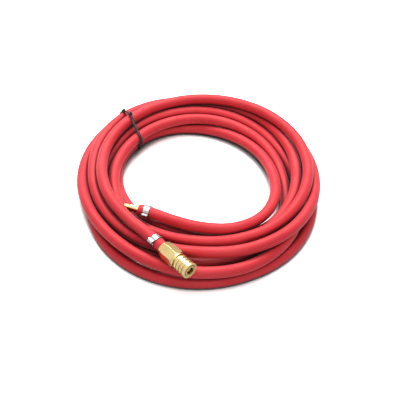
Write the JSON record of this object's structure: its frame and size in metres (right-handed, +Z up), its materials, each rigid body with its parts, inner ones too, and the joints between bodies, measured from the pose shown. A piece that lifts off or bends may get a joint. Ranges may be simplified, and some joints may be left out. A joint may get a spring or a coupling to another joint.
{
  "type": "gas hose with quick couplings",
  "caption": "Loosely coiled red rubber gas hose, tied with one strap, with a brass quick coupler on one end and its brass plug on the other",
  "frame": {"origin": "middle of the footprint of the whole coil with its fittings, on the surface it lies on", "axes": "+Z up, +X to the viewer's right in the picture, +Y away from the viewer"},
  "size_m": [0.249, 0.2782, 0.0418],
  "materials": {
    "hose_rubber": "matte",
    "brass": "turned and polished",
    "steel": "bright",
    "clamp_steel": "bright zinc",
    "seal_rubber": "matte",
    "tie_plastic": "matte"
  },
  "bodies": {
    "hose_set": {"hose": "hose_rubber", "coupler_stem": "brass", "coupler_body": "brass", "locking_balls": "steel", "sleeve_spring": "steel", "snap_ring": "steel", "plug_seal": "seal_rubber", "valve_spring": "steel", "hose_plug": "brass", "coupler_clamp": "clamp_steel", "plug_clamp": "clamp_steel", "tie_strap": "tie_plastic", "tie_knot": "tie_plastic"},
    "sleeve": {"locking_sleeve": "brass"},
    "valve": {"coupler_valve": "brass", "valve_seal": "seal_rubber"}
  },
  "joints": [
    {"name": "sleeve_slide", "type": "slide", "parent": "hose_set", "child": "sleeve", "axis": [-0.654, 0.7524, -0.0785], "range_m": [0, 0.0026], "stiffness_N_per_m": 2000, "springref_m": -0.002, "deforming": ["sleeve_spring"]},
    {"name": "valve_slide", "type": "slide", "parent": "hose_set", "child": "valve", "axis": [-0.654, 0.7524, -0.0785], "range_m": [0, 0.0024], "stiffness_N_per_m": 1000, "springref_m": -0.002, "deforming": ["valve_spring"]}
  ]
}
